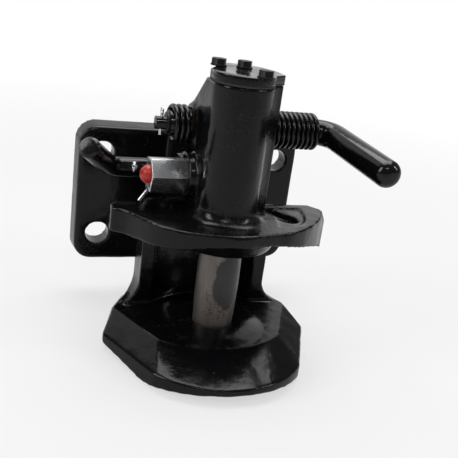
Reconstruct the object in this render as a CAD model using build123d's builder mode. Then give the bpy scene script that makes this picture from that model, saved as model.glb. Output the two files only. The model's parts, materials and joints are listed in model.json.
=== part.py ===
from build123d import *

import os
from math import asin, cos, hypot, radians, sin, sqrt

os.makedirs("parts", exist_ok=True)

# Flange pin hitch. The origin is the centre of the flange's hole pattern on its rear face.
# +X is to the right seen from the mouth, +Y points to the vehicle and +Z is up. Millimetres.

# Bolting flange
flange_span_x = 120
flange_span_z = 55
flange_hole_radius = 7.5
flange_width = 153
flange_top = 46.3
flange_bottom = -47.8
flange_draft = 7
flange_thickness = 15
flange_corner = 13
flange_edge = 2

# Coupling pin and mouth
pin_y = -94
mouth_top = -1
seat_top = -50
pin_lift = 54
pin_neck_radius = 12
pin_crown_radius = 12.7
pin_guide_radius = 12.85
pin_stem_radius = 10
pin_guide_top = 15
pin_engagement = 7
pin_end_chamfer = 2
guide_gap = 0.05
seat_gap = 0.05
loose_gap = 0.3

# Tower
tower_radius = 17.3
tower_top = 91.4
tower_foot_radius = 7
bore_step = 78
bore_top_radius = 10.4

# Upper jaw
jaw_top = 15
jaw_centre_underside = 8
jaw_mid_x = 47
jaw_mid_underside = 1.5
jaw_end_x = 68
jaw_left_underside = 0
jaw_right_underside = -9
jaw_nose_y = -126
jaw_boss_radius = 28
jaw_flare_radius = 34
jaw_back_y = -71
jaw_recess_x = 36
jaw_recess_y = -89
jaw_recess_width = 11
jaw_recess_run = 13
jaw_recess_turn = -59
jaw_recess_depth = 5
jaw_dish_depth = 1.2
jaw_end_point = (55, -103)
jaw_end_slope = (0.72, -0.4, 0.57)

# Mechanism housing behind the tower
housing_right = 25
housing_ear_y = -91
housing_back = -40
housing_wall = 4.3
housing_right_wall = 6
housing_back_wall = 5
housing_roof_wall = 4.5
housing_floor = 15
chamber_front = -79
chamber_top = 78.5
gusset_top = 58

# Neck and throat
neck_half_width = 41
neck_foot_half_width = 56
neck_foot_top = -38
neck_front = -68
throat_radius = 48
throat_y = -103
neck_root_half_width = 27
neck_waist_half_width = 38

# Lower jaw
lower_front_y = -154.8
lower_cheek_x = 44
lower_cheek_y = -133.2
lower_side_x = 65
lower_side_y = -87.5
lower_back_x = 54
lower_back_y = -54
ridge_front_y = -126
ridge_cheek_x = 37
ridge_cheek_y = -112
ridge_side_x = 56.5
ridge_side_y = -70
ridge_back_x = 48
lower_flat = -54
lower_rim = -63
lower_bottom = -73
lower_front_underside = -67.2
lower_side_underside = -68.7
seat_radius = 31

# Bushes round the pin
guide_bush_wall = 2.6
guide_bush_top = 24
lower_bush_wall = 3.9
lower_bush_top = -52
lower_bush_bottom = -69
circlip_thickness = 1.5
circlip_depth = 1.1

# Cross-shaft and hand lever
shaft_y = -62
shaft_z = 60
shaft_radius = 7.5
lever_radius = 8
lever_elbow_x = 72
lever_end_x = 78
lever_bend = 12.3
lever_end_y = -135
lever_droop = 5.24
lever_dome = 6.5
shaft_left_end = -31.3
stub_radius = 3.75
stub_end = -39
shaft_bush_wall = 1.5
shaft_boss_radius = 13
shaft_boss_face = -18.8

# Lift arm
arm_length = 40
arm_rise = 22.4
arm_half_width = 4.5
arm_tip_radius = 4
arm_neck = 2.6
arm_hub_radius = 11.5
arm_hub_half = 7
arm_slot_half = 5
roll_pin_radius = 2

# Closing springs on the cross-shaft
spring_wire = 1.5
spring_mean = 10
spring_pitch = 3.2
spring_right_start = 25.6
spring_right_end = 62.2
spring_left_start = -19.2
spring_left_end = -31
spring_leg_run = 1.6
spring_leg_bend = 2.5
spring_leg_depth = 3
wire_sides = 8

trip_spring_start = 17.2
trip_spring_end = 5.6
trip_spring_mean = 7
trip_spring_wire = 0.8
trip_spring_pitch = 2.2

# Trip lever, pawl and trigger finger
trip_y = -57
trip_z = 31
trip_radius = 6
trip_inner_radius = 5
trip_elbow_x = -62
trip_elbow_bend = 11
trip_end = (-79, -82, 49)
trip_boss_radius = 10
trip_boss_face = -22
trip_bush_wall = 1.9
trip_seat_depth = 4
pawl_hub_radius = 9
pawl_half_width = 5
finger_half_width = 4
finger_half_depth = 4
finger_tip_y = -72
finger_tip_z = -12
finger_slot_front = -75.5
finger_slot_back = -54

# Control indicator
indicator_y = -75
indicator_z = 32.5
indicator_flats = 19
indicator_turn = -8
indicator_face = -43
indicator_boss_radius = 13
indicator_thread_radius = 8
indicator_rod_radius = 3
cap_radius = 5.6
cap_out = 5.2
cap_inside = 4
indicator_ledge = -32
indicator_tip_x = -9.8
indicator_spring_mean = 4.2
indicator_spring_wire = 0.4
indicator_clip_x = -19

# Covers and screws
gasket_thickness = 1
cover_thickness = 4.5
cover_screws = ((-9, -74), (6, -75), (7, -107))
screw_radius = 1.65
screw_flats = 7.5
screw_head = 3.3
screw_collar_radius = 4.6
screw_collar = 0.8
screw_depth = 3.7
window_left = -8
window_right = 14
window_top = 54
window_bottom = 17
rear_cover_thickness = 2.5
rear_cover_bottom = 7.5
rear_cover_top = 63
rear_screw_left = -8.5
rear_screw_right = 14.5
rear_screw_bottom = 11.5
rear_screw_top = 59
rear_screw_depth = 5

# Small pins, washer and pawl details
split_radius = 1.4
split_eye = 2.1
split_eye_wire = 0.9
stub_pin_x = -35.5
stub_pin_radius = 1
washer_radius = 6.5
washer_thickness = 1.6
pawl_pin_x = -9
pawl_pin_radius = 1.5
trip_end_chamfer = 1.5
horn_left = -12.2
horn_front = -77
horn_slope = 0.85
horn_clearance = 1
nose_z = 43
spring_pocket_radius = 5.5
rod_point = 3.5
rod_point_radius = 0.8
indicator_spring_pitch = 2

# Worked-out places
bore_radius = pin_guide_radius + guide_gap
pin_end = seat_top - pin_engagement
arm_rest_angle = asin((pin_lift - arm_rise) / arm_length)
arm_tip_y = shaft_y - arm_length * cos(arm_rest_angle)
arm_tip_z = shaft_z - arm_length * sin(arm_rest_angle)
gasket_top = tower_top + gasket_thickness
cover_top = gasket_top + cover_thickness
pin_top = tower_top - 0.8 - pin_lift
lower_bush_radius = pin_neck_radius + guide_gap + lower_bush_wall
circlip_bottom = lower_bush_bottom - circlip_thickness - 0.3
slot_bottom = arm_tip_z - arm_tip_radius - 2.7
slot_top = arm_tip_z + arm_tip_radius + 0.3
pin_web_back = arm_tip_y - arm_tip_radius - 0.9
lever_start = housing_right + loose_gap
split_place = Vector(-44.5, trip_y, trip_z)
split_into = Vector(0.5, 0.82, -0.29).normalized()
split_eye_reach = (trip_radius + split_eye + split_eye_wire + loose_gap) / hypot(split_into.Y, split_into.Z)
split_points = (
    tuple(split_place - split_into * (split_eye_reach - split_eye)),
    tuple(split_place + split_into * (trip_radius + 2.5)),
    (-36, -51.5, 17),
    (-41.8, -52, 8.7),
)


def bar_along_x(radius, x_start, x_end, y, z):
    """A round bar parallel to X."""
    with BuildPart() as bar:
        with BuildSketch(Plane(origin=(x_start, y, z), x_dir=(0, 1, 0), z_dir=(1, 0, 0))):
            Circle(radius)
        extrude(amount=x_end - x_start)
    return bar.part


def block(x_pair, y_pair, z_pair):
    """A box between two x, two y and two z values."""
    with BuildPart() as box:
        with BuildSketch(Plane.XY.offset(z_pair[0])):
            with Locations(((x_pair[0] + x_pair[1]) / 2, (y_pair[0] + y_pair[1]) / 2)):
                Rectangle(x_pair[1] - x_pair[0], y_pair[1] - y_pair[0])
        extrude(amount=z_pair[1] - z_pair[0])
    return box.part


def post(radius, z_pair, x=0, y=pin_y):
    """An upright cylinder between two heights."""
    with BuildPart() as cylinder:
        with BuildSketch(Plane.XY.offset(z_pair[0])):
            with Locations((x, y)):
                Circle(radius)
        extrude(amount=z_pair[1] - z_pair[0])
    return cylinder.part


# Casting: flange plate with rounded corners
with BuildPart() as flange_plate:
    with BuildSketch(Plane.XZ):
        with Locations((0, (flange_top + flange_bottom) / 2)):
            RectangleRounded(flange_width, flange_top - flange_bottom, flange_corner)
    extrude(amount=flange_thickness, taper=flange_draft)
    fillet(flange_plate.faces().sort_by(Axis.Y)[0].edges(), flange_edge)

# Casting: neck between flange and mouth, seen from the front and from the side
with BuildPart() as neck:
    with BuildSketch(Plane.XZ.offset(flange_thickness - 3)):
        with BuildLine():
            Line((0, 5), (neck_half_width, 5))
            Line((neck_half_width, 5), (neck_half_width, neck_foot_top))
            TangentArc(
                (neck_half_width, neck_foot_top),
                (neck_foot_half_width, lower_flat - 1),
                tangent=(0, -1),
            )
            Line((neck_foot_half_width, lower_flat - 1), (neck_foot_half_width, lower_bottom))
            Line((neck_foot_half_width, lower_bottom), (0, lower_bottom))
            mirror(about=Plane.YZ)
        make_face()
    extrude(amount=-neck_front - flange_thickness + 3)
    with BuildSketch(Plane.YZ):
        Polygon(
            (-flange_thickness + 5, -3),
            (-45, 1),
            (neck_front - 1, 5),
            (neck_front - 1, lower_bottom),
            (-52, lower_bottom),
            (-30, -63),
            (-flange_thickness + 5, flange_bottom + 2),
            align=None,
        )
    extrude(amount=neck_foot_half_width + 1, both=True, mode=Mode.INTERSECT)
    with BuildSketch(Plane.XY.offset(lower_bottom - 1)):
        with BuildLine():
            Polyline(
                (0, -flange_thickness + 4), (neck_root_half_width, -flange_thickness + 4),
                (neck_waist_half_width, -40), (neck_half_width, -50), (lower_back_x - 4, -60),
                (neck_foot_half_width + 1, neck_front - 1), (0, neck_front - 1),
            )
            mirror(about=Plane.YZ)
        make_face()
    extrude(amount=8 - lower_bottom, mode=Mode.INTERSECT)
    with BuildSketch(Plane.XY.offset(lower_flat)):
        with Locations((0, throat_y)):
            Circle(throat_radius)
    extrude(amount=mouth_top - lower_flat, mode=Mode.SUBTRACT)

# Casting: upper jaw, arched below, with a boss and a flared mouth edge round the pin
with BuildPart() as upper_jaw:
    with BuildSketch(Plane.XY.offset(jaw_right_underside - 1)):
        with BuildLine():
            ThreePointArc((-24.5, -122), (0, jaw_nose_y), (24.5, -122))
            Spline((24.5, -122), (37, -117.5), (48, -109), (57.5, -99), (65, -89.5))
            Spline(
                (-24.5, -122), (-38.6, -115), (-47, -105), (-53, -94.5), (-58, -87.5), (-62, -84.5),
            )
            Polyline(
                (65, -89.5), (68, -86), (68.5, -80), (62.5, jaw_back_y), (35, jaw_back_y),
                (0, jaw_back_y + 6),
            )
            Polyline(
                (-62, -84.5), (-64.5, -82.5), (-64, -76), (-60, jaw_back_y), (-35, jaw_back_y),
                (0, jaw_back_y + 6),
            )
        make_face()
    extrude(amount=jaw_top - jaw_right_underside + 1)
    with BuildSketch(Plane.XZ):
        with BuildLine():
            Spline(
                (-jaw_end_x - 1, jaw_left_underside),
                (-jaw_mid_x, jaw_mid_underside),
                (0, jaw_centre_underside),
                (jaw_mid_x, jaw_mid_underside),
                (jaw_end_x + 1, jaw_right_underside),
            )
            Polyline(
                (jaw_end_x + 1, jaw_right_underside),
                (jaw_end_x + 1, jaw_top),
                (-jaw_end_x - 1, jaw_top),
                (-jaw_end_x - 1, jaw_left_underside),
            )
        make_face()
    extrude(amount=-jaw_nose_y + 1, mode=Mode.INTERSECT)
    split(bisect_by=Plane(origin=(*jaw_end_point, jaw_top), z_dir=jaw_end_slope), keep=Keep.BOTTOM)
    with BuildSketch(Plane.XY.offset(jaw_top)):
        with BuildLine():
            Spline((27, -111), (37.5, -109), (46, -102.5), (50.5, -94), (53, -84), (53.5, -77))
            Polyline((53.5, -77), (35, -77), (27, -111))
        make_face()
    extrude(amount=-jaw_dish_depth, mode=Mode.SUBTRACT)
    with BuildSketch(Plane.XY.offset(jaw_top - jaw_recess_depth)):
        with Locations(Location((jaw_recess_x, jaw_recess_y, 0), (0, 0, jaw_recess_turn))):
            SlotCenterToCenter(jaw_recess_run, jaw_recess_width)
    extrude(amount=jaw_recess_depth + 1, mode=Mode.SUBTRACT)

with BuildPart() as jaw_boss:
    with BuildSketch(Plane.YZ):
        with Locations((pin_y, 0)):
            Polygon(
                (0, jaw_top - 1), (0, mouth_top), (jaw_boss_radius - 2, mouth_top),
                (jaw_boss_radius, mouth_top + 1.5), (jaw_flare_radius - 1, jaw_centre_underside + 1),
                (jaw_flare_radius - 1, jaw_top - 1), align=None,
            )
    revolve(axis=Axis((0, pin_y, 0), (0, 0, 1)))

# Casting: tower with a hollow-curved foot
with BuildPart() as tower:
    with BuildSketch(Plane.YZ):
        with BuildLine():
            foot = tower_radius + tower_foot_radius
            Line((pin_y, jaw_top - 2), (pin_y + foot, jaw_top - 2))
            Line((pin_y + foot, jaw_top - 2), (pin_y + foot, jaw_top))
            TangentArc(
                (pin_y + foot, jaw_top),
                (pin_y + tower_radius, jaw_top + tower_foot_radius),
                tangent=(-1, 0),
            )
            Line((pin_y + tower_radius, jaw_top + tower_foot_radius), (pin_y + tower_radius, tower_top))
            Line((pin_y + tower_radius, tower_top), (pin_y, tower_top))
            Line((pin_y, tower_top), (pin_y, jaw_top - 2))
        make_face()
    revolve(axis=Axis((0, pin_y, 0), (0, 0, 1)))

# The housing's three sloping roof faces: a point on each and its outward direction
roof_left = Plane(origin=(-17.5, -87, 96), z_dir=(-0.532, 0.542, 0.650))
roof_back = Plane(origin=(0, -60, 96), z_dir=(0, 26, 20))
roof_right = Plane(origin=(25, -80, 96), z_dir=(0.68, 0.49, 0.55))
roof = (roof_left, roof_back, roof_right)

# Casting: mechanism housing
with BuildPart() as housing:
    with BuildSketch(Plane.XY):
        Polygon(
            (-tower_radius, pin_y), (12, pin_y - 5), (17, pin_y - 2.5), (22, housing_ear_y - 1.5),
            (housing_right, housing_ear_y), (housing_right, housing_back),
            (-tower_radius, housing_back), align=None,
        )
    extrude(amount=tower_top)
    for slope in roof:
        split(bisect_by=slope, keep=Keep.BOTTOM)

with BuildPart() as chamber:
    add(
        block(
            (-tower_radius + housing_wall, housing_right - housing_right_wall),
            (chamber_front, housing_back - housing_back_wall),
            (housing_floor, chamber_top),
        )
    )
    for slope in roof:
        split(bisect_by=slope.offset(-housing_roof_wall), keep=Keep.BOTTOM)

# Casting: two gussets from the housing's side walls to the flange
with BuildPart() as gussets:
    for x_left, x_right in (
        (-tower_radius, -tower_radius + housing_wall),
        (housing_right - housing_right_wall, housing_right),
    ):
        with BuildSketch(Plane.YZ.offset(x_left)):
            Polygon(
                (housing_back - 2, 0), (-flange_thickness + 3, 0), (-flange_thickness + 3, flange_top - 6),
                (housing_back - 2, gusset_top), align=None,
            )
        extrude(amount=x_right - x_left)

# Casting: lower jaw with flat facets falling to its rim and a crowned seat
def lower_outline(front, cheek_x, cheek_y, side_x, side_y, back_x):
    """Half-symmetric plan of the lower jaw: a bowed front, straight cheeks and hips."""
    with BuildLine() as outline:
        ThreePointArc((-cheek_x, cheek_y), (0, front), (cheek_x, cheek_y))
        for side in (-1, 1):
            Polyline((side * cheek_x, cheek_y), (side * side_x, side_y), (side * back_x, lower_back_y))
        Line((-back_x, lower_back_y), (back_x, lower_back_y))
    return outline.line


with BuildPart() as lower_jaw:
    rim_values = (lower_front_y, lower_cheek_x, lower_cheek_y, lower_side_x, lower_side_y, lower_back_x)
    with BuildSketch(Plane.XY.offset(lower_bottom)):
        add(lower_outline(*rim_values))
        make_face()
    extrude(amount=lower_rim - lower_bottom)
    with BuildSketch(Plane.XY.offset(lower_rim)):
        add(lower_outline(*rim_values))
        make_face()
    with BuildSketch(Plane.XY.offset(lower_flat)):
        add(
            lower_outline(
                ridge_front_y, ridge_cheek_x, ridge_cheek_y, ridge_side_x, ridge_side_y, ridge_back_x
            )
        )
        make_face()
    loft(ruled=True)
    for side in (-1, 1):
        split(
            bisect_by=Plane(
                origin=(side * lower_side_x, lower_side_y, lower_side_underside),
                z_dir=(side * (lower_side_underside - lower_bottom), 0, -15),
            ),
            keep=Keep.BOTTOM,
        )
    split(
        bisect_by=Plane(
            origin=(0, lower_front_y, lower_front_underside),
            z_dir=(0, -(lower_front_underside - lower_bottom), -28),
        ),
        keep=Keep.BOTTOM,
    )
    with BuildSketch(Plane.YZ):
        with BuildLine():
            ThreePointArc(
                (pin_y, seat_top),
                (pin_y + seat_radius / 2, seat_top - (seat_top - lower_flat) / 4),
                (pin_y + seat_radius, lower_flat),
            )
            Polyline(
                (pin_y + seat_radius, lower_flat), (pin_y + seat_radius, lower_flat - 2),
                (pin_y, lower_flat - 2), (pin_y, seat_top),
            )
        make_face()
    revolve(axis=Axis((0, pin_y, 0), (0, 0, 1)))


def spring_route(x_wall, x_free, y, z, mean, wire, pitch):
    """Centre line of a torsion spring: a leg out of the wall, then the coil along X."""
    away = 1 if x_free > x_wall else -1
    with BuildLine() as route:
        turns = Helix(
            pitch, abs(x_free - x_wall) - 2 * wire, mean,
            center=(x_wall + away * wire, y, z), direction=(away, 0, 0),
        )
        back = (turns % 0) * -1
        side = turns @ 0 + back * spring_leg_run
        bend_end = side + back * spring_leg_bend + Vector(-away * spring_leg_bend, 0, 0)
        bend = TangentArc(side, bend_end, tangent=back)
        Line(turns @ 0, side)
        Line(bend @ 1, bend @ 1 + (bend % 1) * spring_leg_depth)
    return route.wires()[0], bend @ 1, bend % 1


right_route, right_leg, right_into = spring_route(
    spring_right_start, spring_right_end, shaft_y, shaft_z, spring_mean, spring_wire, spring_pitch
)
left_route, left_leg, left_into = spring_route(
    spring_left_start, spring_left_end, shaft_y, shaft_z, spring_mean, spring_wire, spring_pitch
)
trip_route, trip_leg, trip_into = spring_route(
    trip_spring_start, trip_spring_end, trip_y, trip_z,
    trip_spring_mean, trip_spring_wire, trip_spring_pitch,
)
spring_legs = (
    (right_leg, right_into, spring_wire),
    (left_leg, left_into, spring_wire),
    (trip_leg, trip_into, trip_spring_wire),
)


def straight_pin(start, direction, length, radius):
    """A round pin from a point in a direction."""
    with BuildPart() as pin:
        with BuildSketch(Plane(origin=start, z_dir=direction)):
            Circle(radius)
        extrude(amount=length)
    return pin.part


# The whole casting
with BuildPart() as hitch_body:
    add(flange_plate.part)
    add(neck.part)
    add(upper_jaw.part)
    add(jaw_boss.part)
    add(tower.part)
    add(housing.part)
    add(gussets.part)
    add(lower_jaw.part)
    add(bar_along_x(shaft_boss_radius, shaft_boss_face, -tower_radius + 2, shaft_y, shaft_z))
    add(bar_along_x(trip_boss_radius, trip_boss_face, -tower_radius + 2, trip_y, trip_z))
    add(bar_along_x(indicator_boss_radius, trip_boss_face, -tower_radius + 2, indicator_y, indicator_z))
    with BuildSketch(Plane.XZ):
        with GridLocations(flange_span_x, flange_span_z, 2, 2):
            Circle(flange_hole_radius)
    extrude(amount=flange_thickness, mode=Mode.SUBTRACT)
    add(chamber.part, mode=Mode.SUBTRACT)
    add(
        block(
            (window_left, window_right),
            (housing_back - housing_back_wall - 1, housing_back + 1),
            (window_bottom, window_top),
        ),
        mode=Mode.SUBTRACT,
    )
    add(
        block((-arm_slot_half - 1, arm_slot_half + 1), (pin_y - 2, -73), (pin_guide_top + 5, 87)),
        mode=Mode.SUBTRACT,
    )
    add(post(bore_radius, (mouth_top - 1, bore_step)), mode=Mode.SUBTRACT)
    add(post(bore_top_radius, (bore_step - 1, tower_top + 1)), mode=Mode.SUBTRACT)
    add(
        post(bore_radius + guide_bush_wall + seat_gap, (mouth_top - 1, guide_bush_top)),
        mode=Mode.SUBTRACT,
    )
    add(
        block(
            (-finger_half_width - 2, finger_half_width + 2),
            (finger_slot_front, finger_slot_back),
            (mouth_top - 6, housing_floor + 1),
        ),
        mode=Mode.SUBTRACT,
    )
    add(
        bar_along_x(
            shaft_radius + guide_gap + shaft_bush_wall + seat_gap,
            shaft_boss_face - 1, housing_right + 1, shaft_y, shaft_z,
        ),
        mode=Mode.SUBTRACT,
    )
    add(
        bar_along_x(
            trip_radius + guide_gap + trip_bush_wall + seat_gap,
            trip_boss_face - 1, -tower_radius + housing_wall + 1, trip_y, trip_z,
        ),
        mode=Mode.SUBTRACT,
    )
    add(
        bar_along_x(
            trip_inner_radius + guide_gap,
            housing_right - housing_right_wall - 1,
            housing_right - housing_right_wall + trip_seat_depth, trip_y, trip_z,
        ),
        mode=Mode.SUBTRACT,
    )
    add(
        bar_along_x(
            indicator_thread_radius + seat_gap,
            trip_boss_face - 1, -tower_radius + housing_wall + 1, indicator_y, indicator_z,
        ),
        mode=Mode.SUBTRACT,
    )
    add(post(bore_radius + 0.2, (lower_bottom - 1, seat_top + 1)), mode=Mode.SUBTRACT)
    add(
        post(pin_neck_radius + guide_gap + lower_bush_wall + seat_gap, (lower_bottom - 1, lower_bush_top)),
        mode=Mode.SUBTRACT,
    )
    for place, into, wire in spring_legs:
        add(
            straight_pin(place - into * 2, into, spring_leg_depth + 2.5, wire + loose_gap),
            mode=Mode.SUBTRACT,
        )
    for x, y in cover_screws:
        add(
            post(screw_radius + 0.05, (tower_top - screw_depth - 0.2, tower_top + 1), x, y),
            mode=Mode.SUBTRACT,
        )
    for x in (rear_screw_left, rear_screw_right):
        for z in (rear_screw_bottom, rear_screw_top):
            add(
                straight_pin(
                    (x, housing_back + 1, z), (0, -1, 0), rear_screw_depth + 1.2, screw_radius + 0.05
                ),
                mode=Mode.SUBTRACT,
            )
    add(
        post(
            lower_bush_radius + circlip_depth,
            (circlip_bottom - 0.1, circlip_bottom + circlip_thickness + 0.1),
        ),
        mode=Mode.SUBTRACT,
    )
hitch_body.part.label = "hitch_body"
export_step(hitch_body.part, "parts/hitch_body.step")

# Bushes round the pin
with BuildPart() as upper_guide_bush:
    add(post(bore_radius + guide_bush_wall, (mouth_top + 0.5, guide_bush_top - 0.2)))
    add(post(bore_radius, (mouth_top - 1, guide_bush_top + 1)), mode=Mode.SUBTRACT)
upper_guide_bush.part.label = "upper_guide_bush"
export_step(upper_guide_bush.part, "parts/upper_guide_bush.step")

with BuildPart() as lower_seat_bush:
    add(post(lower_bush_radius, (lower_bush_bottom, lower_bush_top)))
    add(post(pin_neck_radius + guide_gap, (lower_bush_bottom - 1, lower_bush_top + 1)), mode=Mode.SUBTRACT)
    chamfer(lower_seat_bush.faces().sort_by(Axis.Z)[-1].edges().sort_by(SortBy.LENGTH)[0], 0.8)
lower_seat_bush.part.label = "lower_seat_bush"
export_step(lower_seat_bush.part, "parts/lower_seat_bush.step")

with BuildPart() as lower_bush_circlip:
    add(post(lower_bush_radius + circlip_depth - 0.2, (circlip_bottom, circlip_bottom + circlip_thickness)))
    add(
        post(lower_bush_radius - 2.2, (circlip_bottom - 1, circlip_bottom + circlip_thickness + 1)),
        mode=Mode.SUBTRACT,
    )
    add(
        block(
            (-3, 3), (pin_y - 20, pin_y - 10), (circlip_bottom - 1, circlip_bottom + circlip_thickness + 1)
        ),
        mode=Mode.SUBTRACT,
    )
lower_bush_circlip.part.label = "lower_bush_circlip"
export_step(lower_bush_circlip.part, "parts/lower_bush_circlip.step")

# Coupling pin: crowned where the drawbar eye turns, with a slot for the lift arm's tip
with BuildPart() as coupling_pin:
    with BuildSketch(Plane.YZ):
        with BuildLine():
            Polyline(
                (pin_y, pin_end), (pin_y + pin_neck_radius - pin_end_chamfer, pin_end),
                (pin_y + pin_neck_radius, pin_end + pin_end_chamfer), (pin_y + pin_neck_radius, seat_top),
            )
            ThreePointArc(
                (pin_y + pin_neck_radius, seat_top),
                (pin_y + pin_crown_radius, (seat_top + mouth_top) / 2),
                (pin_y + pin_neck_radius, mouth_top),
            )
            Polyline(
                (pin_y + pin_neck_radius, mouth_top), (pin_y + pin_guide_radius, mouth_top + 3),
                (pin_y + pin_guide_radius, pin_guide_top - 1.5),
                (pin_y + pin_stem_radius + 1, pin_guide_top),
                (pin_y + pin_stem_radius, pin_guide_top), (pin_y + pin_stem_radius, pin_top - 1),
                (pin_y + pin_stem_radius - 1, pin_top), (pin_y, pin_top), (pin_y, pin_end),
            )
        make_face()
    revolve(axis=Axis((0, pin_y, 0), (0, 0, 1)))
    add(
        block((-arm_slot_half, arm_slot_half), (pin_y - 14, pin_y + 14), (slot_bottom, slot_top)),
        mode=Mode.SUBTRACT,
    )
    with BuildSketch(Plane.YZ.offset(-arm_slot_half)):
        Polygon(
            (pin_web_back, slot_top - 1), (pin_y + 14, slot_top - 1), (pin_y + 14, pin_top + 1),
            (pin_web_back, pin_top + 1), align=None,
        )
        Polygon(
            (pin_y + 1.8, slot_bottom), (pin_y + 14, slot_bottom - 9.6), (pin_y + 14, slot_bottom + 1),
            (pin_y + 1.8, slot_bottom + 1), align=None,
        )
    extrude(amount=2 * arm_slot_half, mode=Mode.SUBTRACT)
coupling_pin.part.label = "coupling_pin"
export_step(coupling_pin.part, "parts/coupling_pin.step")


def bent_bar(points, bends, radius):
    """A round bar along straight runs joined by tangent arcs of the given bend radii."""
    corners = [Vector(*point) for point in points]
    with BuildPart() as bar:
        with BuildLine() as route:
            start = corners[0]
            for before, corner, after, bend in zip(corners, corners[1:], corners[2:], bends):
                inward = (corner - before).normalized()
                outward = (after - corner).normalized()
                reach = bend * sqrt((1 - inward.dot(outward)) / (1 + inward.dot(outward)))
                Line(start, corner - inward * reach)
                TangentArc(corner - inward * reach, corner + outward * reach, tangent=inward)
                start = corner + outward * reach
            Line(start, corners[-1])
        with BuildSketch(Plane(origin=corners[0], z_dir=corners[1] - corners[0])):
            Circle(radius)
        sweep(path=route.wires()[0])
    return bar.part


# Hand lever: cross-shaft and handle bent from one bar
droop = radians(lever_droop)
lever_reach = (shaft_y - lever_end_y) / cos(droop)
with BuildPart() as hand_lever:
    add(
        bent_bar(
            (
                (lever_start, shaft_y, shaft_z),
                (lever_elbow_x, shaft_y, shaft_z),
                (lever_end_x, lever_end_y, shaft_z - lever_reach * sin(droop)),
            ),
            (lever_bend,),
            lever_radius,
        )
    )
    fillet(hand_lever.faces().filter_by(GeomType.PLANE).sort_by(Axis.Y)[0].edges(), lever_dome)
    add(bar_along_x(shaft_radius, shaft_left_end, lever_start + 1, shaft_y, shaft_z))
    add(bar_along_x(stub_radius, stub_end, shaft_left_end + 1, shaft_y, shaft_z))
    arm_across = Vector(0, sin(arm_rest_angle), -cos(arm_rest_angle))
    add(
        straight_pin(
            Vector(0, shaft_y, shaft_z) - arm_across * 12, arm_across, 24, roll_pin_radius + guide_gap
        ),
        mode=Mode.SUBTRACT,
    )
    add(
        straight_pin((stub_pin_x, shaft_y, shaft_z - 8), (0, 0, 1), 16, stub_pin_radius + 0.1),
        mode=Mode.SUBTRACT,
    )
hand_lever.part.label = "hand_lever"
export_step(hand_lever.part, "parts/hand_lever.step")

# Lift arm: hub on the cross-shaft, tapered web and round tip
arm_plane = Plane(
    origin=(0, shaft_y, shaft_z),
    x_dir=(0, -cos(arm_rest_angle), -sin(arm_rest_angle)),
    z_dir=(1, 0, 0),
)
with BuildPart() as lift_arm:
    with BuildSketch(arm_plane):
        Polygon(
            (0, arm_hub_radius - 3.5), (arm_length - 8, arm_neck), (arm_length, arm_neck),
            (arm_length, -arm_neck), (arm_length - 8, -arm_neck), (0, -arm_hub_radius + 3.5), align=None,
        )
        with Locations((arm_length, 0)):
            Circle(arm_tip_radius)
    extrude(amount=arm_half_width, both=True)
    with BuildSketch(arm_plane):
        Circle(arm_hub_radius)
    extrude(amount=arm_hub_half, both=True)
    with BuildSketch(arm_plane):
        Circle(shaft_radius + guide_gap)
    extrude(amount=arm_hub_half + 1, both=True, mode=Mode.SUBTRACT)
    add(
        straight_pin(
            Vector(0, shaft_y, shaft_z) - arm_across * 12, arm_across, 24, roll_pin_radius + guide_gap
        ),
        mode=Mode.SUBTRACT,
    )
lift_arm.part.label = "lift_arm"
export_step(lift_arm.part, "parts/lift_arm.step")

with BuildPart() as lift_arm_roll_pin:
    add(
        straight_pin(
            Vector(0, shaft_y, shaft_z) - arm_across * (arm_hub_radius - 1),
            arm_across, 2 * arm_hub_radius - 2, roll_pin_radius,
        )
    )
lift_arm_roll_pin.part.label = "lift_arm_roll_pin"
export_step(lift_arm_roll_pin.part, "parts/lift_arm_roll_pin.step")


def sleeve(inner, outer, x_start, x_end, y, z):
    """A plain ring or bush along X."""
    with BuildPart() as ring:
        add(bar_along_x(outer, x_start, x_end, y, z))
        add(bar_along_x(inner, x_start - 1, x_end + 1, y, z), mode=Mode.SUBTRACT)
    return ring.part


# Bushes of the cross-shaft
with BuildPart() as shaft_bush_left:
    add(
        sleeve(
            shaft_radius + guide_gap, shaft_radius + guide_gap + shaft_bush_wall,
            shaft_boss_face, -tower_radius + housing_wall - 0.2, shaft_y, shaft_z,
        )
    )
shaft_bush_left.part.label = "shaft_bush_left"
export_step(shaft_bush_left.part, "parts/shaft_bush_left.step")

with BuildPart() as shaft_bush_right:
    add(
        sleeve(
            shaft_radius + guide_gap, shaft_radius + guide_gap + shaft_bush_wall,
            housing_right - housing_right_wall + 0.2, housing_right, shaft_y, shaft_z,
        )
    )
shaft_bush_right.part.label = "shaft_bush_right"
export_step(shaft_bush_right.part, "parts/shaft_bush_right.step")


def wound_wire(route, wire):
    """Wire along a spring's centre line."""
    with BuildPart() as spring:
        with BuildSketch(Plane(origin=route @ 0, z_dir=route % 0)):
            RegularPolygon(wire, wire_sides)
        sweep(path=route, is_frenet=True)
    return spring.part


with BuildPart() as torsion_spring_right:
    add(wound_wire(right_route, spring_wire))
torsion_spring_right.part.label = "torsion_spring_right"
export_step(torsion_spring_right.part, "parts/torsion_spring_right.step")

with BuildPart() as torsion_spring_left:
    add(wound_wire(left_route, spring_wire))
torsion_spring_left.part.label = "torsion_spring_left"
export_step(torsion_spring_left.part, "parts/torsion_spring_left.step")

with BuildPart() as trip_spring:
    add(wound_wire(trip_route, trip_spring_wire))
trip_spring.part.label = "trip_spring"
export_step(trip_spring.part, "parts/trip_spring.step")

# Washer and split pin on the thin end of the cross-shaft
with BuildPart() as shaft_washer:
    add(
        sleeve(
            stub_radius + guide_gap, washer_radius,
            shaft_left_end - washer_thickness, shaft_left_end, shaft_y, shaft_z,
        )
    )
shaft_washer.part.label = "shaft_washer"
export_step(shaft_washer.part, "parts/shaft_washer.step")


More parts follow.
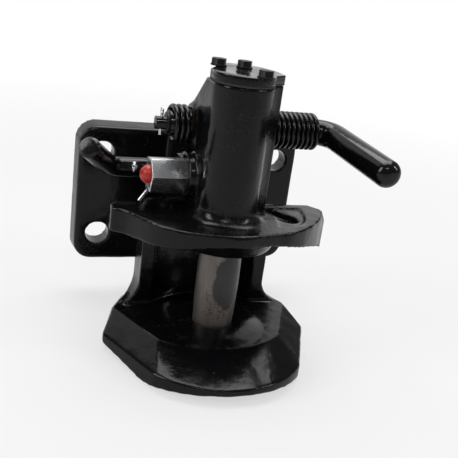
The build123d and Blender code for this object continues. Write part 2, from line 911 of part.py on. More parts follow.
def eye_ring(centre, normal, ring_radius, wire):
    """The eye of a split pin."""
    with BuildPart() as eye:
        with BuildSketch(Plane(origin=centre, z_dir=normal).rotated((90, 0, 0))):
            with Locations((ring_radius, 0)):
                Circle(wire)
        revolve(axis=Axis(centre, Plane(origin=centre, z_dir=normal).rotated((90, 0, 0)).y_dir))
    return eye.part


with BuildPart() as shaft_split_pin:
    add(straight_pin((stub_pin_x, shaft_y, shaft_z - 7), (0, 0, 1), 12.5, stub_pin_radius))
    add(eye_ring((stub_pin_x, shaft_y, shaft_z + 7), (0, 1, 0), 1.7, 0.7))
shaft_split_pin.part.label = "shaft_split_pin"
export_step(shaft_split_pin.part, "parts/shaft_split_pin.step")

# Trip lever: bent bar with a thinner shaft inside the housing
with BuildPart() as trip_lever:
    add(
        bent_bar(
            (
                (-tower_radius + housing_wall + 0.5, trip_y, trip_z), (trip_elbow_x, trip_y, trip_z),
                trip_end,
            ),
            (trip_elbow_bend,),
            trip_radius,
        )
    )
    chamfer(trip_lever.faces().filter_by(GeomType.PLANE).sort_by(Axis.X)[0].edges(), trip_end_chamfer)
    add(
        bar_along_x(
            trip_inner_radius, -tower_radius + housing_wall,
            housing_right - housing_right_wall + trip_seat_depth - loose_gap, trip_y, trip_z,
        )
    )
    add(
        straight_pin((pawl_pin_x, trip_y, trip_z - 8), (0, 0, 1), 16, pawl_pin_radius + guide_gap),
        mode=Mode.SUBTRACT,
    )
    add(
        straight_pin(split_place - split_into * 10, split_into, 20, split_radius + 0.1),
        mode=Mode.SUBTRACT,
    )
trip_lever.part.label = "trip_lever"
export_step(trip_lever.part, "parts/trip_lever.step")

with BuildPart() as trip_split_pin:
    add(bent_bar(split_points, (1.6, 1.6), split_radius))
    add(eye_ring(split_place - split_into * split_eye_reach, (0, 0.3, 1), split_eye, split_eye_wire))
trip_split_pin.part.label = "trip_split_pin"
export_step(trip_split_pin.part, "parts/trip_split_pin.step")

with BuildPart() as trip_bush:
    add(
        sleeve(
            trip_radius + guide_gap, trip_radius + guide_gap + trip_bush_wall,
            trip_boss_face, -tower_radius + housing_wall - 0.2, trip_y, trip_z,
        )
    )
trip_bush.part.label = "trip_bush"
export_step(trip_bush.part, "parts/trip_bush.step")

# Trip pawl: hub, upward nose, trigger finger and the wedge-faced horn beside the indicator's rod
with BuildPart() as horn:
    with BuildSketch(Plane.YZ.offset(horn_left)):
        Polygon(
            (trip_y, trip_z + 7), (horn_front, trip_z + 7.5), (horn_front, trip_z - 4),
            (trip_y, trip_z - 7), align=None,
        )
    extrude(amount=-arm_half_width - horn_clearance - horn_left)
    split(
        bisect_by=Plane(
            origin=(indicator_tip_x + loose_gap + horn_slope * rod_point_radius, indicator_y, indicator_z),
            z_dir=(-1, 0, horn_slope),
        ),
        keep=Keep.BOTTOM,
    )

with BuildPart() as trip_pawl:
    add(horn.part)
    add(bar_along_x(pawl_hub_radius, horn_left, pawl_half_width, trip_y, trip_z))
    with BuildSketch(Plane.YZ):
        Polygon(
            (trip_y + 5, trip_z + 3), (trip_y - 1, nose_z), (trip_y - 5, nose_z), (trip_y - 6, trip_z + 3),
            align=None,
        )
    extrude(amount=pawl_half_width, both=True)
    finger_run = hypot(finger_tip_y - trip_y, finger_tip_z - trip_z)
    finger_along = ((finger_tip_y - trip_y) / finger_run, (finger_tip_z - trip_z) / finger_run)
    with BuildSketch(Plane(origin=(0, trip_y, trip_z), x_dir=(0, *finger_along), z_dir=(1, 0, 0))):
        with Locations((finger_run / 2, 0)):
            SlotCenterToCenter(finger_run, 2 * finger_half_depth)
    extrude(amount=finger_half_width, both=True)
    add(
        bar_along_x(trip_inner_radius + guide_gap, horn_left - 1, pawl_half_width + 1, trip_y, trip_z),
        mode=Mode.SUBTRACT,
    )
    add(
        straight_pin((pawl_pin_x, trip_y, trip_z - 10), (0, 0, 1), 20, pawl_pin_radius + guide_gap),
        mode=Mode.SUBTRACT,
    )
trip_pawl.part.label = "trip_pawl"
export_step(trip_pawl.part, "parts/trip_pawl.step")

with BuildPart() as trip_pawl_pin:
    add(
        straight_pin(
            (pawl_pin_x, trip_y, trip_z - pawl_hub_radius + 1), (0, 0, 1), 2 * pawl_hub_radius - 2,
            pawl_pin_radius,
        )
    )
trip_pawl_pin.part.label = "trip_pawl_pin"
export_step(trip_pawl_pin.part, "parts/trip_pawl_pin.step")

# Control indicator: hexagon housing, rod, spring, clip and domed cap
hex_plane = Plane(origin=(indicator_face, indicator_y, indicator_z), x_dir=(0, 1, 0), z_dir=(1, 0, 0))
with BuildPart() as indicator_housing:
    with BuildSketch(hex_plane):
        RegularPolygon(indicator_flats / 2, 6, major_radius=False, rotation=indicator_turn)
    extrude(amount=trip_boss_face - indicator_face)
    with BuildSketch(hex_plane):
        Circle(indicator_flats / 2 + 1.2)
    extrude(amount=trip_boss_face - indicator_face, taper=-20, mode=Mode.INTERSECT)
    add(
        bar_along_x(
            indicator_thread_radius, trip_boss_face - 1, -tower_radius + housing_wall - 0.2,
            indicator_y, indicator_z,
        )
    )
    add(
        bar_along_x(
            indicator_rod_radius + loose_gap, indicator_face - 1, -tower_radius + housing_wall + 1,
            indicator_y, indicator_z,
        ),
        mode=Mode.SUBTRACT,
    )
    add(
        bar_along_x(
            cap_radius + loose_gap, indicator_face - 1, indicator_ledge - 1, indicator_y, indicator_z
        ),
        mode=Mode.SUBTRACT,
    )
    add(
        bar_along_x(
            spring_pocket_radius, indicator_ledge + 1, -tower_radius + housing_wall + 1,
            indicator_y, indicator_z,
        ),
        mode=Mode.SUBTRACT,
    )
indicator_housing.part.label = "indicator_housing"
export_step(indicator_housing.part, "parts/indicator_housing.step")

with BuildPart() as indicator_rod:
    add(
        bar_along_x(
            indicator_rod_radius, indicator_face + cap_inside - 1, indicator_tip_x - rod_point,
            indicator_y, indicator_z,
        )
    )
    with BuildSketch(
        Plane(
            origin=(indicator_tip_x - rod_point, indicator_y, indicator_z),
            x_dir=(0, 1, 0), z_dir=(1, 0, 0),
        )
    ):
        Circle(indicator_rod_radius)
    with BuildSketch(
        Plane(origin=(indicator_tip_x, indicator_y, indicator_z), x_dir=(0, 1, 0), z_dir=(1, 0, 0))
    ):
        Circle(rod_point_radius)
    loft()
    add(
        sleeve(
            indicator_rod_radius - 0.5, indicator_rod_radius + 1, indicator_clip_x, indicator_clip_x + 1,
            indicator_y, indicator_z,
        ),
        mode=Mode.SUBTRACT,
    )
indicator_rod.part.label = "indicator_rod"
export_step(indicator_rod.part, "parts/indicator_rod.step")

with BuildPart() as indicator_cap:
    with BuildSketch(Plane(origin=(0, indicator_y, indicator_z), x_dir=(1, 0, 0), z_dir=(0, 0, 1))):
        with BuildLine():
            Line((indicator_face + cap_inside, 0), (indicator_face + cap_inside, cap_radius))
            Line(
                (indicator_face + cap_inside, cap_radius),
                (indicator_face - cap_out + cap_radius, cap_radius),
            )
            ThreePointArc(
                (indicator_face - cap_out + cap_radius, cap_radius),
                (
                    indicator_face - cap_out + cap_radius - cap_radius * sin(radians(45)),
                    cap_radius * sin(radians(45)),
                ),
                (indicator_face - cap_out, 0),
            )
            Line((indicator_face - cap_out, 0), (indicator_face + cap_inside, 0))
        make_face()
    revolve(axis=Axis((0, indicator_y, indicator_z), (1, 0, 0)))
    add(
        bar_along_x(
            indicator_rod_radius + seat_gap, indicator_face + cap_inside - 1 - seat_gap,
            indicator_face + cap_inside + 1, indicator_y, indicator_z,
        ),
        mode=Mode.SUBTRACT,
    )
indicator_cap.part.label = "indicator_cap"
export_step(indicator_cap.part, "parts/indicator_cap.step")

with BuildPart() as indicator_spring:
    with BuildLine() as indicator_turns:
        Helix(
            indicator_spring_pitch,
            indicator_clip_x - indicator_ledge - 1 - 2 * indicator_spring_wire - 0.4,
            indicator_spring_mean,
            center=(indicator_ledge + 1.2 + indicator_spring_wire, indicator_y, indicator_z),
            direction=(1, 0, 0),
        )
    add(wound_wire(indicator_turns.wires()[0], indicator_spring_wire))
indicator_spring.part.label = "indicator_spring"
export_step(indicator_spring.part, "parts/indicator_spring.step")

with BuildPart() as indicator_circlip:
    add(
        sleeve(
            indicator_rod_radius - 0.4, indicator_rod_radius + 1.8, indicator_clip_x + 0.1,
            indicator_clip_x + 0.9, indicator_y, indicator_z,
        )
    )
    add(
        block(
            (indicator_clip_x - 1, indicator_clip_x + 2), (indicator_y - 1.5, indicator_y + 1.5),
            (indicator_z - 6, indicator_z),
        ),
        mode=Mode.SUBTRACT,
    )
indicator_circlip.part.label = "indicator_circlip"
export_step(indicator_circlip.part, "parts/indicator_circlip.step")


# Cover, gasket and screws on top
def cover_outline():
    """The plan shared by the cover and its gasket."""
    with BuildSketch() as plan:
        with BuildLine():
            ThreePointArc(
                (-tower_radius, pin_y), (0, pin_y - tower_radius), (tower_radius * 0.98, pin_y - 3)
            )
            Polyline(
                (tower_radius * 0.98, pin_y - 3), (housing_right, housing_ear_y), (housing_right, -80),
                (20, -66), (10, -59.3), (0, -59), (-tower_radius, -87), (-tower_radius, pin_y),
            )
        make_face()
    return plan.sketch


def cover_sheet(z_pair, centre_hole, hole_radius):
    """A sheet of the cover's plan between two heights, with the screw holes."""
    with BuildPart() as sheet:
        with BuildSketch(Plane.XY.offset(z_pair[0])):
            add(cover_outline())
            with Locations(*cover_screws):
                Circle(hole_radius, mode=Mode.SUBTRACT)
            if centre_hole:
                with Locations((0, pin_y)):
                    Circle(centre_hole, mode=Mode.SUBTRACT)
        extrude(amount=z_pair[1] - z_pair[0])
    return sheet.part


with BuildPart() as cover_gasket:
    add(cover_sheet((tower_top, gasket_top), bore_top_radius, screw_radius + loose_gap))
cover_gasket.part.label = "cover_gasket"
export_step(cover_gasket.part, "parts/cover_gasket.step")

with BuildPart() as top_cover:
    add(cover_sheet((gasket_top, cover_top), 0, screw_radius + loose_gap))
top_cover.part.label = "top_cover"
export_step(top_cover.part, "parts/top_cover.step")

with BuildPart() as cover_bolts:
    for x, y in cover_screws:
        add(post(screw_radius, (tower_top - screw_depth, cover_top + 1), x, y))
        add(post(screw_collar_radius, (cover_top, cover_top + screw_collar), x, y))
        with BuildSketch(Plane.XY.offset(cover_top + screw_collar)):
            with Locations((x, y)):
                RegularPolygon(screw_flats / 2, 6, major_radius=False)
        extrude(amount=screw_head)
cover_bolts.part.label = "cover_bolts"
export_step(cover_bolts.part, "parts/cover_bolts.step")

# Cover over the mechanism opening, between the gussets
with BuildPart() as rear_cover:
    with BuildSketch(Plane.XZ.offset(-housing_back)):
        with Locations(
            ((rear_screw_left + rear_screw_right) / 2, (rear_cover_bottom + rear_cover_top) / 2)
        ):
            RectangleRounded(
                rear_screw_right - rear_screw_left + 8, rear_cover_top - rear_cover_bottom, 3
            )
        with Locations(
            (rear_screw_left, rear_screw_bottom), (rear_screw_left, rear_screw_top),
            (rear_screw_right, rear_screw_bottom), (rear_screw_right, rear_screw_top),
        ):
            Circle(screw_radius + loose_gap, mode=Mode.SUBTRACT)
    extrude(amount=-rear_cover_thickness)
rear_cover.part.label = "rear_cover"
export_step(rear_cover.part, "parts/rear_cover.step")

with BuildPart() as rear_cover_screws:
    for x in (rear_screw_left, rear_screw_right):
        for z in (rear_screw_bottom, rear_screw_top):
            head_start = (x, housing_back + rear_cover_thickness + 2, z)
            add(straight_pin(head_start, (0, -1, 0), 2, 3))
            add(
                straight_pin(
                    head_start, (0, -1, 0), 2 + rear_cover_thickness + rear_screw_depth, screw_radius
                )
            )
rear_cover_screws.part.label = "rear_cover_screws"
export_step(rear_cover_screws.part, "parts/rear_cover_screws.step")
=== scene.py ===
import json
from math import cos, pi, radians, sin

import bmesh
import bpy
from mathutils import Matrix, Vector

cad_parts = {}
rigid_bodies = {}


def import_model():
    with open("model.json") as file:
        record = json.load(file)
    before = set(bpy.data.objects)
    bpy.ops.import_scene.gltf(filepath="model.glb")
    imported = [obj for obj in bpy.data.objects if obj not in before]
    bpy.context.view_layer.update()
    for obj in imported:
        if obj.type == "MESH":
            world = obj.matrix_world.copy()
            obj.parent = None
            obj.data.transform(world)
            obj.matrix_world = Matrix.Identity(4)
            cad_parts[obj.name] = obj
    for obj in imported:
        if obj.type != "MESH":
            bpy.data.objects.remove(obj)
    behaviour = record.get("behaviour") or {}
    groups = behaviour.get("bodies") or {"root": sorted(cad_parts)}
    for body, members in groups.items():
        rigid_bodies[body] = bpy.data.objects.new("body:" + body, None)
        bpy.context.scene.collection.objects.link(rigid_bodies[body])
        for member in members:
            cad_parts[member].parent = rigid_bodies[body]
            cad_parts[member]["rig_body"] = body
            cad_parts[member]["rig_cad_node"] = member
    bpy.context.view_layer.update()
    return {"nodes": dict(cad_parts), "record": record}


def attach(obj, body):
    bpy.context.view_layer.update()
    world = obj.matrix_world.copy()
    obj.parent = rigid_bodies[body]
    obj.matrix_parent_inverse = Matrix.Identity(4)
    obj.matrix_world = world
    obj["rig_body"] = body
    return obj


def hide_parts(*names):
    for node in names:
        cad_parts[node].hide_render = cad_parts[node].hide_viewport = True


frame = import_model()

MM = 0.001

# Places and sizes in millimetres, as in the part
SHAFT_Y, SHAFT_Z = -62, 60
FLOOR_Z = -73.2

# Camera, at the photograph's viewing angle
FRAME_PIXELS = 458
FOCAL_PIXELS = 709.4
SENSOR = 36
CAMERA_AT = Vector((-133.5, -456.8, 147.8)) * MM
CAMERA_TURN = radians(20.62)
CAMERA_DOWN = radians(19.98)
CAMERA_ROLL = radians(7.89)


def add_camera():
    """The camera, rolled so that the hitch leans to the right."""
    ahead = Vector((
        sin(CAMERA_TURN) * cos(CAMERA_DOWN),
        cos(CAMERA_TURN) * cos(CAMERA_DOWN),
        -sin(CAMERA_DOWN),
    ))
    level = Vector((cos(CAMERA_TURN), -sin(CAMERA_TURN), 0))
    above = level.cross(ahead)
    across = level * cos(CAMERA_ROLL) + above * sin(CAMERA_ROLL)
    up = above * cos(CAMERA_ROLL) - level * sin(CAMERA_ROLL)
    bpy.ops.object.camera_add(location=CAMERA_AT)
    camera = bpy.context.object
    camera.name = "camera"
    camera.rotation_euler = Matrix((across, up, -ahead)).transposed().to_euler()
    camera.data.sensor_width = SENSOR
    camera.data.lens = FOCAL_PIXELS / FRAME_PIXELS * SENSOR
    camera.data.clip_start = 0.01
    bpy.context.scene.camera = camera


# Small shop routines
JOIN_WITHIN = 0.004
FLAT_WITHIN = 1
EASED_FROM = 32
EASED_STEPS = 2


def clear():
    """Back to object mode with nothing selected."""
    if bpy.context.object and bpy.context.object.mode != "OBJECT":
        bpy.ops.object.mode_set(mode="OBJECT")
    bpy.ops.object.select_all(action="DESELECT")


def take(piece):
    """This piece alone selected and active."""
    clear()
    piece.select_set(True)
    bpy.context.view_layer.objects.active = piece


def apply_modifier(piece, kind, **settings):
    """A modifier with these settings, applied at once."""
    take(piece)
    modifier = piece.modifiers.new(kind.lower(), kind)
    for name, value in settings.items():
        setattr(modifier, name, value)
    bpy.ops.object.modifier_apply(modifier=modifier.name)


def smooth(piece, degrees=35):
    """Soft shading except over sharp edges."""
    take(piece)
    bpy.ops.object.shade_smooth_by_angle(angle=radians(degrees))


def settle(piece):
    """The piece's place goes into its mesh, and its object to the origin."""
    take(piece)
    bpy.ops.object.transform_apply(location=True, rotation=True, scale=True)


def copy_of(node, name, flatten=FLAT_WITHIN):
    """A new piece that starts as a merged copy of a CAD node and stands for it."""
    source = frame["nodes"][node]
    body = source["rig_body"]
    take(source)
    bpy.ops.object.duplicate()
    piece = bpy.context.object
    bpy.ops.object.parent_clear(type="CLEAR_KEEP_TRANSFORM")
    piece.name = name
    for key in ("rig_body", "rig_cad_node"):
        del piece[key]
    piece.data.materials.clear()
    bpy.ops.object.mode_set(mode="EDIT")
    bpy.ops.mesh.select_all(action="SELECT")
    bpy.ops.mesh.remove_doubles(threshold=JOIN_WITHIN * MM)
    if flatten:
        bpy.ops.mesh.dissolve_limited(angle_limit=radians(flatten))
    bpy.ops.object.mode_set(mode="OBJECT")
    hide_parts(node)
    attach(piece, body)
    return piece


def ease_edges(piece, width):
    """A small round along the sharp edges."""
    apply_modifier(
        piece, "BEVEL", width=width * MM, segments=EASED_STEPS, limit_method="ANGLE",
        angle_limit=radians(EASED_FROM), use_clamp_overlap=True, harden_normals=False,
    )
    smooth(piece)


# Materials
class Wire:
    """The output of a node, with sums that add Math nodes."""

    def __init__(self, finish, socket):
        self.finish = finish
        self.socket = socket

    def sum(self, operation, first, second):
        return self.finish.node("Math", {"operation": operation}, {0: first, 1: second})

    def __add__(self, other):
        return self.sum("ADD", self, other)

    def __radd__(self, other):
        return self.sum("ADD", other, self)

    def __sub__(self, other):
        return self.sum("SUBTRACT", self, other)

    def __rsub__(self, other):
        return self.sum("SUBTRACT", other, self)

    def __mul__(self, other):
        return self.sum("MULTIPLY", self, other)

    def __rmul__(self, other):
        return self.sum("MULTIPLY", other, self)

    def __pow__(self, other):
        return self.sum("POWER", self, other)

    def __rpow__(self, other):
        return self.sum("POWER", other, self)


class Finish:
    """A material whose pattern lies on Object coordinates."""

    def __init__(self, name):
        self.material = bpy.data.materials.new(name)
        self.material.use_nodes = True
        self.tree = self.material.node_tree
        self.tree.nodes.clear()
        self.place = self.node("TexCoord", {}, {}, "Object")
        self.out = self.tree.nodes.new("ShaderNodeOutputMaterial")

    def node(self, kind, settings, sockets, output=0):
        """Adds a node: its settings first, then the values or links of its sockets."""
        node = self.tree.nodes.new("ShaderNode" + kind)
        for name, value in settings.items():
            setattr(node, name, value)
        for name, value in sockets.items():
            if isinstance(value, Wire):
                self.tree.links.new(value.socket, node.inputs[name])
            else:
                node.inputs[name].default_value = value
        return Wire(self, node.outputs[output])

    def noise(self, scale, detail=3, roughness=0.55, stretch=None):
        """Cloudy noise, whose scale is in patches to the metre."""
        place = self.place
        if stretch:
            place = self.node("Mapping", {}, {"Vector": place, "Scale": stretch})
        return self.node(
            "TexNoise", {}, {"Vector": place, "Scale": scale, "Detail": detail, "Roughness": roughness}
        )

    def cells(self, scale):
        """Distance to scattered points."""
        return self.node("TexVoronoi", {}, {"Vector": self.place, "Scale": scale}, "Distance")

    def band(self, value, low, high):
        """0 below low, 1 above high and a smooth step between."""
        return self.node(
            "MapRange", {"interpolation_type": "SMOOTHSTEP"},
            {"Value": value, "From Min": low, "From Max": high},
        )

    def patch(self, centre, radii, ragged):
        """1 inside an oval place, 0 outside it, with a ragged edge; sizes in millimetres."""
        offset = self.node("VectorMath", {"operation": "SUBTRACT"}, {0: self.place, 1: Vector(centre) * MM})
        scaled = self.node("VectorMath", {"operation": "DIVIDE"}, {0: offset, 1: Vector(radii) * MM})
        reach = self.node("VectorMath", {"operation": "LENGTH"}, {0: scaled}, "Value")
        return 1 - self.band(reach + self.noise(260, 4, 0.65) * ragged, 0.95, 1.08)

    def mix(self, factor, first, second):
        """One colour over another."""
        below = (*first, 1) if isinstance(first, tuple) else first
        above = (*second, 1) if isinstance(second, tuple) else second
        return self.node("Mix", {"data_type": "RGBA"}, {0: factor, 6: below, 7: above}, 2)

    def bump(self, height, strength, distance):
        """Small relief from a height."""
        return self.node("Bump", {}, {"Strength": strength, "Distance": distance * MM, "Height": height})

    def shade(self, **sockets):
        """The surface shader; socket names are written with underscores."""
        named = {name.replace("_", " "): value for name, value in sockets.items()}
        surface = self.node("BsdfPrincipled", {}, named)
        self.tree.links.new(surface.socket, self.out.inputs["Surface"])
        return self.material


def cast_paint():
    """Thick gloss black over rough iron, with pits, dust and thin grey scuffs."""
    finish = Finish("gloss black on cast iron")
    grain = finish.noise(420, 4, 0.6)
    lumps = finish.noise(95, 3)
    pits = finish.band(finish.cells(260), 0.0, 0.16)
    film = finish.noise(30, 4, 0.6)
    dust = finish.band(finish.noise(650, 2) * 0.6 + film * 0.5, 0.62, 0.74)
    colour = finish.mix(dust * 0.3, (0.003, 0.003, 0.0036), (0.04, 0.04, 0.04))
    rough = 0.12 + finish.band(film, 0.35, 0.7) * 0.12 + dust * 0.12
    relief = finish.bump(grain * 0.35 + lumps * 1.0 + pits * 0.3, 0.35, 0.55)
    return finish.shade(Base_Color=colour, Roughness=rough, Normal=relief, Specular_IOR_Level=0.24)


def bar_paint():
    """Gloss black on smooth bar."""
    finish = Finish("gloss black on bar")
    peel = finish.noise(260, 3)
    film = finish.noise(45, 4)
    scuff = finish.band(finish.noise(900, 2) * 0.5 + film * 0.5, 0.6, 0.72)
    colour = finish.mix(scuff * 0.4, (0.003, 0.003, 0.0034), (0.05, 0.05, 0.05))
    rough = 0.12 + finish.band(film, 0.4, 0.7) * 0.1 + scuff * 0.15
    relief = finish.bump(peel, 0.25, 0.25)
    return finish.shade(Base_Color=colour, Roughness=rough, Normal=relief, Specular_IOR_Level=0.3)


def worn_steel():
    """Bare pin steel: one dark oval patch in front, brown specks below it and lengthwise rubbing."""
    finish = Finish("worn bare steel")
    rubbed = finish.noise(420, 3, 0.6, stretch=(1, 1, 0.12))
    film = finish.noise(70, 4, 0.6)
    # A dark oval placed on the front of the pin: near-black, less metallic and a little glossier there.
    dark_oval = finish.patch((3, -106, -22), (13, 9, 24), 0.6)
    stain = finish.patch((-4, -105, -36), (13, 9, 14), 0.6)
    specks = finish.band(finish.noise(700, 3), 0.52, 0.6) * stain
    bare = finish.mix(rubbed, (0.09, 0.078, 0.07), (0.24, 0.215, 0.195))
    stained = finish.mix(specks * 0.8, bare, (0.09, 0.045, 0.03))
    colour = finish.mix(dark_oval * 0.9, stained, (0.012, 0.011, 0.012))
    rough = 0.38 + rubbed * 0.12 + specks * 0.2 - dark_oval * 0.1
    metal = 0.8 - dark_oval * 0.55 - specks * 0.3
    relief = finish.bump(rubbed * 0.5 + specks * 0.4 + film, 0.25, 0.15)
    return finish.shade(Base_Color=colour, Roughness=rough, Metallic=metal, Normal=relief)


def bright_zinc():
    """Bright plating with faint turning marks."""
    finish = Finish("bright zinc plating")
    film = finish.noise(160, 3)
    fine = finish.noise(1500, 2)
    colour = finish.mix(film, (0.62, 0.63, 0.64), (0.78, 0.79, 0.80))
    rough = 0.14 + film * 0.14 + fine * 0.05
    relief = finish.bump(fine, 0.12, 0.05)
    return finish.shade(Base_Color=colour, Roughness=rough, Metallic=0.97, Normal=relief)


def spring_paint():
    """Black dipped wire."""
    finish = Finish("black dipped wire")
    film = finish.noise(140, 3)
    rub = finish.band(finish.noise(700, 2) * 0.5 + film * 0.5, 0.58, 0.7)
    colour = finish.mix(rub * 0.5, (0.003, 0.003, 0.0034), (0.05, 0.05, 0.05))
    rough = 0.14 + film * 0.12 + rub * 0.15
    relief = finish.bump(film, 0.2, 0.12)
    return finish.shade(Base_Color=colour, Roughness=rough, Normal=relief, Specular_IOR_Level=0.3)


def red_plastic():
    """Moulded red plastic, a little dusty."""
    finish = Finish("red moulded plastic")
    film = finish.noise(180, 3)
    dust = finish.band(finish.noise(900, 2), 0.55, 0.75)
    colour = finish.mix(film, (0.42, 0.018, 0.012), (0.56, 0.03, 0.022))
    dusty = finish.mix(dust * 0.25, colour, (0.55, 0.2, 0.18))
    rough = 0.27 + film * 0.12 + dust * 0.15
    relief = finish.bump(finish.noise(1100, 2), 0.12, 0.06)
    return finish.shade(Base_Color=dusty, Roughness=rough, Normal=relief)


def oiled_steel():
    """Dark machined steel under oil and paint."""
    finish = Finish("oiled dark steel")
    film = finish.noise(120, 4)
    fine = finish.noise(1300, 2)
    colour = finish.mix(film, (0.010, 0.010, 0.011), (0.03, 0.029, 0.028))
    rough = 0.3 + film * 0.2 + fine * 0.06
    relief = finish.bump(fine, 0.2, 0.08)
    return finish.shade(Base_Color=colour, Roughness=rough, Metallic=0.8, Normal=relief)


def bearing_bronze():
    """Bush bronze, dark with old oil."""
    finish = Finish("bearing bronze")
    film = finish.noise(150, 4)
    fine = finish.noise(1200, 2)
    colour = finish.mix(film, (0.03, 0.018, 0.009), (0.07, 0.042, 0.02))
    rough = 0.3 + film * 0.2 + fine * 0.05
    relief = finish.bump(fine, 0.15, 0.08)
    return finish.shade(Base_Color=colour, Roughness=rough, Metallic=0.95, Normal=relief)


def gasket_sheet():
    """Dark fibre sheet."""
    finish = Finish("dark fibre sheet")
    fibre = finish.noise(1600, 3)
    colour = finish.mix(fibre, (0.012, 0.011, 0.010), (0.045, 0.042, 0.038))
    rough = 0.7 + fibre * 0.2
    return finish.shade(Base_Color=colour, Roughness=rough, Normal=finish.bump(fibre, 0.4, 0.1))


MATERIALS = {
    "black_cast": cast_paint(),
    "black_bar": bar_paint(),
    "worn_steel": worn_steel(),
    "bright_zinc": bright_zinc(),
    "spring_black": spring_paint(),
    "red_cap": red_plastic(),
    "dark_steel": oiled_steel(),
    "bronze": bearing_bronze(),
    "gasket_paper": gasket_sheet(),
}
NODE_SLOT = {part["node"]: part["material_slot"] for part in frame["record"]["subparts"]}


def dress(piece, slot):
    """The piece takes the finish of one of the record's material slots."""
    piece.data.materials.clear()
    piece.data.materials.append(MATERIALS[slot])


def new_piece(piece, slot):
    """A new piece takes the finish of its slot."""
    dress(piece, slot)


# The casting: edges rounded as by sand and paint, faces slightly uneven
CAST_GRID = 1
CAST_ROUNDING = 6
SKIN_PATCH = 11
SKIN_DEPTH = 0.35
FACES_KEPT = 0.42


def make_casting():
    """The casting, remeshed to round its edges and then pressed in a little by a cloudy skin."""
    piece = copy_of("hitch_body", "cast_body", flatten=0)
    apply_modifier(piece, "REMESH", mode="VOXEL", voxel_size=CAST_GRID * MM, adaptivity=0)
    apply_modifier(piece, "SMOOTH", factor=0.5, iterations=CAST_ROUNDING)
    clouds = bpy.data.textures.new("foundry skin", "CLOUDS")
    clouds.noise_scale = SKIN_PATCH * MM
    clouds.noise_depth = 2
    apply_modifier(
        piece, "DISPLACE", texture=clouds, texture_coords="LOCAL", strength=SKIN_DEPTH * MM, mid_level=1,
    )
    apply_modifier(piece, "DECIMATE", decimate_type="COLLAPSE", ratio=FACES_KEPT)
    smooth(piece, 60)
    new_piece(piece, "black_cast")


make_casting()


# Bars, covers and the other solid pieces
EASED = (
    ("top_cover", "tower_cover", 0.7),
    ("cover_bolts", "cover_screw_heads", 0.45),
    ("coupling_pin", "hitch_pin", 0.3),
    ("lower_seat_bush", "seat_bush", 0.2),
    ("hand_lever", "hand_lever_bar", 0.3),
    ("trip_lever", "trip_lever_bar", 0.4),
    ("indicator_housing", "indicator_hexagon", 0.25),
    ("indicator_cap", "indicator_dome", 0.2),
    ("shaft_washer", "shaft_end_washer", 0.2),
    ("rear_cover", "rear_cover_plate", 0.4),
    ("rear_cover_screws", "rear_cover_screw_heads", 0.35),
)
for node, name, width in EASED:
    eased = copy_of(node, name)
    ease_edges(eased, width)
    new_piece(eased, NODE_SLOT[node])


# Torsion springs: wire wound by a screw, with a bent leg into the casting
SPRING_WIRE = 1.5
SPRING_MEAN = 10
SPRING_PITCH = 3.2
LEG_RUN = 1.6
LEG_BEND = 2.5
LEG_DEPTH = 3
LEG_BEND_STEPS = 8
WIRE_SIDES = 20
STEPS_PER_TURN = 40
RIGHT_SPRING_ENDS = (27.1, 60.7)
LEFT_SPRING_ENDS = (-20.7, -29.5)


def wind_spring(node, name, x_start, x_end, upward):
    """A spring about the cross-shaft from its bent leg at x_start to its cut end at x_end."""
    along = 1 if x_end > x_start else -1
    side = 1 if upward else -1
    turns = abs(x_end - x_start) / SPRING_PITCH
    steps = round(turns * STEPS_PER_TURN)
    clear()
    bpy.ops.mesh.primitive_circle_add(
        vertices=WIRE_SIDES, radius=SPRING_WIRE * MM, fill_type="NOTHING",
        location=(0, 0, side * SPRING_MEAN * MM), rotation=(pi / 2, 0, 0),
    )
    wire = bpy.context.object
    wire.name = name
    settle(wire)
    apply_modifier(
        wire, "SCREW", axis="X", angle=turns * 2 * pi * along, screw_offset=(x_end - x_start) * MM,
        steps=steps, render_steps=steps, iterations=1,
        use_smooth_shade=True, use_merge_vertices=False,
    )
    wire.location = Vector((x_start, SHAFT_Y, SHAFT_Z)) * MM
    settle(wire)
    # the leg: back along Y, round a bend and into the wall
    bpy.ops.object.mode_set(mode="EDIT")
    mesh = bmesh.from_edit_mesh(wire.data)
    centre = Vector((x_start, SHAFT_Y, SHAFT_Z + side * SPRING_MEAN)) * MM
    for vertex in mesh.verts:
        on_cut = abs(vertex.co.y - centre.y) < 1e-6
        vertex.select = on_cut and (vertex.co - centre).length < (SPRING_WIRE + 0.1) * MM
    mesh.select_flush_mode()
    bmesh.update_edit_mesh(wire.data)
    bpy.ops.mesh.extrude_region_move(TRANSFORM_OT_translate={"value": (0, LEG_RUN * MM, 0)})
    bend_at = centre + Vector((-along * LEG_BEND, LEG_RUN, 0)) * MM
    bpy.ops.mesh.spin(steps=LEG_BEND_STEPS, angle=-along * pi / 2, center=bend_at, axis=(0, 0, 1))
    bpy.ops.mesh.extrude_region_move(TRANSFORM_OT_translate={"value": (-along * LEG_DEPTH * MM, 0, 0)})
    bpy.ops.mesh.edge_face_add()
    bpy.ops.mesh.select_all(action="SELECT")
    bpy.ops.mesh.remove_doubles(threshold=0.01 * MM)
    bpy.ops.mesh.fill_holes(sides=WIRE_SIDES)
    bpy.ops.mesh.normals_make_consistent(inside=False)
    bpy.ops.object.mode_set(mode="OBJECT")
    smooth(wire, 50)
    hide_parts(node)
    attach(wire, "root")
    new_piece(wire, "spring_black")


wind_spring("torsion_spring_right", "closing_spring_right", *RIGHT_SPRING_ENDS, True)
wind_spring("torsion_spring_left", "closing_spring_left", *LEFT_SPRING_ENDS, False)


# Pieces kept as they are get their finish
for node, piece in frame["nodes"].items():
    if not piece.hide_render:
        dress(piece, NODE_SLOT[node])


# Floor, backdrop and lights
FLOOR_SIZE = 12
WORLD_LEVEL = 0.16
MIRROR_RAMP = 1.5


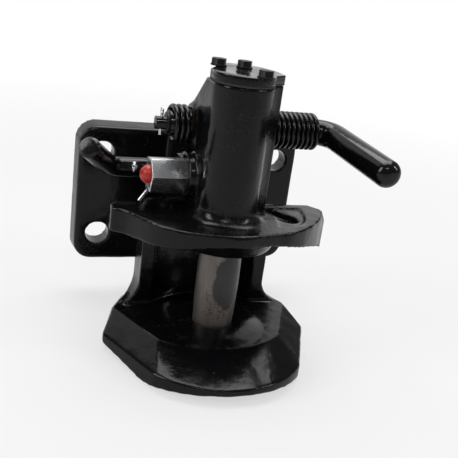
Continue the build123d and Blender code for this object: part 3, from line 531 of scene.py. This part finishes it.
def studio_paint(name, near, far, least, mirrored_from):
    """Pale paint: plain white to the camera from far off, with the shadow left near the hitch.

    Mirror and glass rays meet the same white beyond mirrored_from and the lit paint before it.
    """
    finish = Finish(name)
    tone = finish.noise(3, 2)
    colour = finish.mix(tone, (0.6, 0.6, 0.6), (0.64, 0.64, 0.64))
    matt = finish.node("BsdfDiffuse", {}, {"Color": colour})
    white = finish.node("Emission", {}, {"Color": (1, 1, 1, 1), "Strength": 1})
    reach = finish.node("VectorMath", {"operation": "LENGTH"}, {0: finish.place}, "Value")
    plain = least + finish.band(reach, near, far) * (1 - least)
    seen = finish.node("LightPath", {}, {}, "Is Camera Ray")
    glossy = finish.node("LightPath", {}, {}, "Is Glossy Ray")
    through = finish.node("LightPath", {}, {}, "Is Transmission Ray")
    mirrored = (glossy + through) * finish.band(reach, mirrored_from, mirrored_from + MIRROR_RAMP)
    blend = finish.node("MixShader", {}, {0: seen * plain + mirrored, 1: matt, 2: white})
    finish.tree.links.new(blend.socket, finish.out.inputs["Surface"])
    return finish.material


clear()
bpy.ops.mesh.primitive_plane_add(size=FLOOR_SIZE, location=(0, 0, FLOOR_Z * MM))
floor = bpy.context.object
floor.name = "studio_floor"
floor.data.materials.append(studio_paint("pale floor", near=0.25, far=0.9, least=0.62, mirrored_from=1))

bpy.ops.mesh.primitive_plane_add(
    size=FLOOR_SIZE, location=(0, FLOOR_SIZE / 2, FLOOR_SIZE / 2 + FLOOR_Z * MM), rotation=(pi / 2, 0, 0)
)
backdrop = bpy.context.object
backdrop.name = "studio_backdrop"
backdrop.data.materials.append(studio_paint("pale backdrop", near=0, far=0.1, least=1, mirrored_from=0))


def add_light(name, place, aim, size, watts):
    """A soft square lamp that faces a point."""
    bpy.ops.object.light_add(type="AREA", location=place)
    lamp = bpy.context.object
    lamp.name = name
    lamp.data.shape = "RECTANGLE"
    lamp.data.size, lamp.data.size_y = size
    lamp.data.energy = watts
    lamp.rotation_euler = (Vector(aim) - Vector(place)).to_track_quat("-Z", "Y").to_euler()


add_light("top_softbox", (0.15, 0.35, 1.35), (0, -0.05, 0), (1.3, 1.1), 22)
add_light("left_softbox", (-1.25, -0.15, 0.75), (0, -0.08, 0), (0.5, 0.9), 9)
add_light("right_strip", (0.95, -0.55, 0.7), (0, -0.08, 0), (0.06, 0.6), 3.5)
add_light("front_strip", (-0.35, -1.1, 1.15), (0, -0.08, 0), (0.5, 0.06), 3)

world = bpy.data.worlds.new("studio")
bpy.context.scene.world = world
world.use_nodes = True
world.node_tree.nodes["Background"].inputs["Color"].default_value = (1, 1, 1, 1)
world.node_tree.nodes["Background"].inputs["Strength"].default_value = WORLD_LEVEL

add_camera()
bpy.context.scene.view_settings.view_transform = "Standard"
